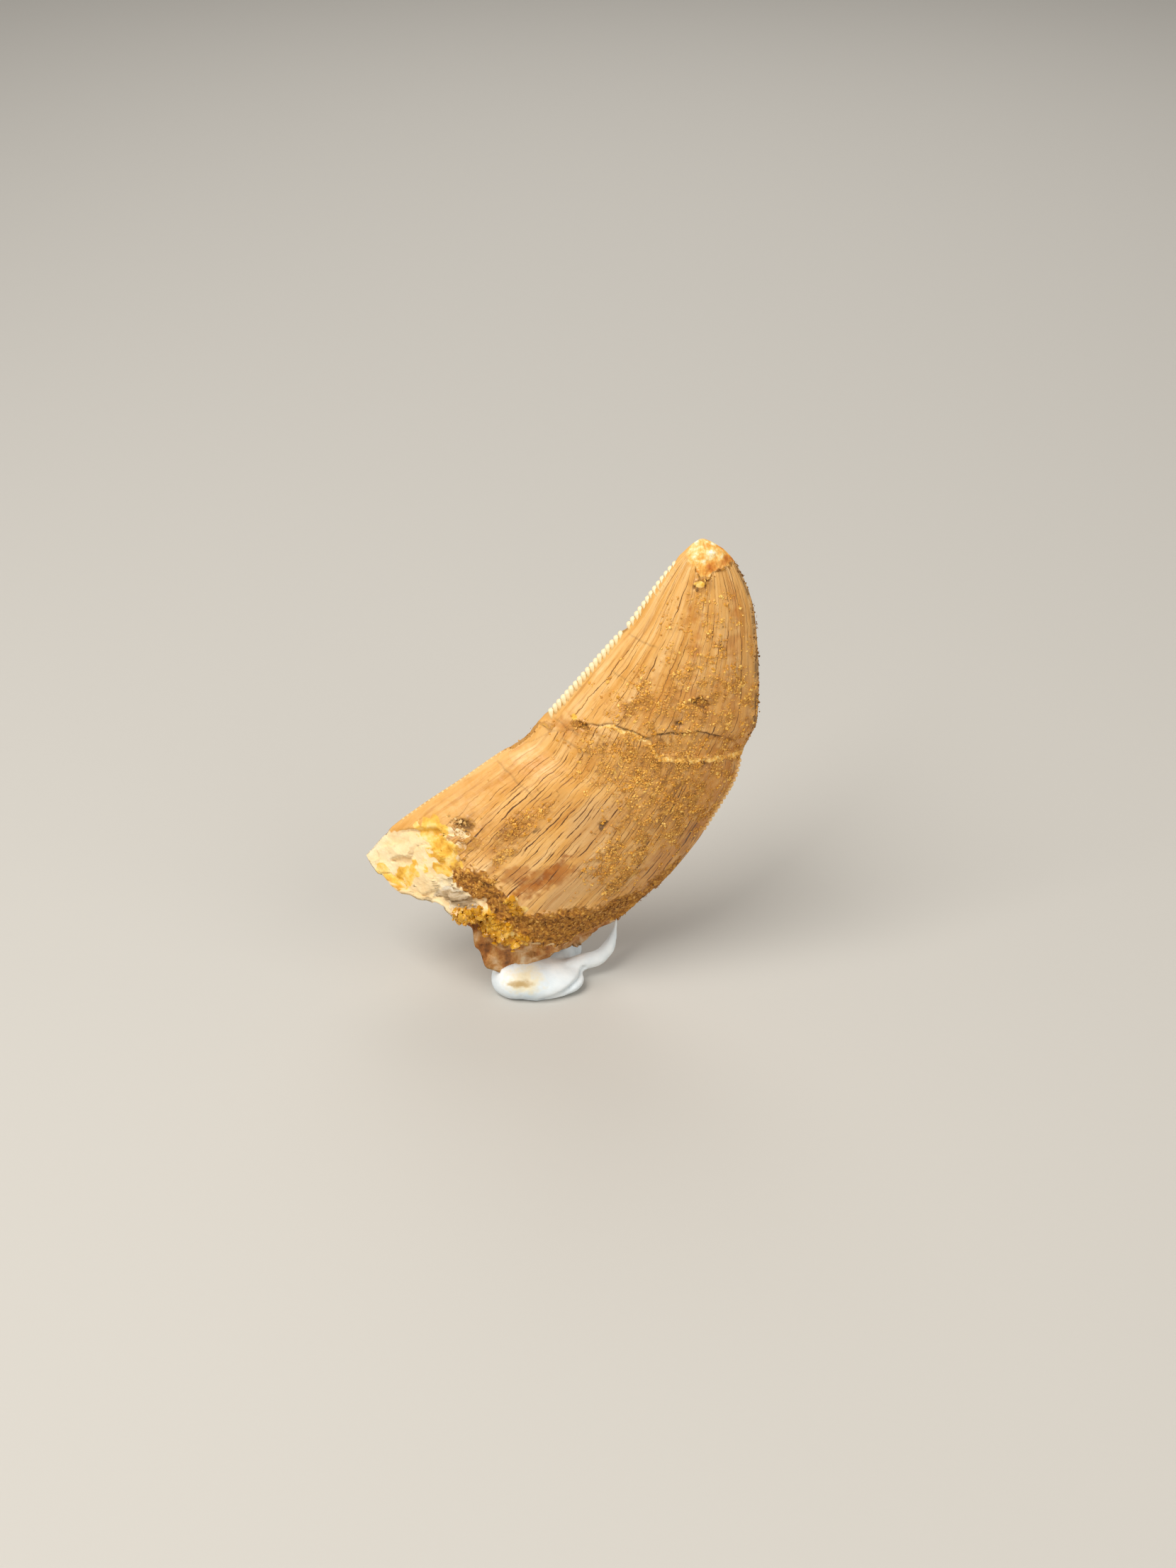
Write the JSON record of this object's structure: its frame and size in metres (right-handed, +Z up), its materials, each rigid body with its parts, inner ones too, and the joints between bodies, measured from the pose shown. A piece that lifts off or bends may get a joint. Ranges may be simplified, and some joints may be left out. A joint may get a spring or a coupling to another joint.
{
  "type": "fossil dinosaur tooth",
  "caption": "Curved, blade-shaped fossil theropod tooth with serrated edges and a broken, crystal-crusted base, standing upright in a lump of white mounting putty.",
  "frame": {"origin": "on the putty's flat foot, under the middle of the lump", "axes": "+Z up, +X towards the tooth's convex edge, +Y away from the viewer"},
  "size_m": [0.0363, 0.0128, 0.0444],
  "materials": {
    "tooth": "satin tan enamel over cream dentine, with brown crust and yellow crystals",
    "putty": "matte bluish white"
  },
  "bodies": {
    "root": {"tooth": "tooth", "putty": "putty"}
  },
  "joints": []
}
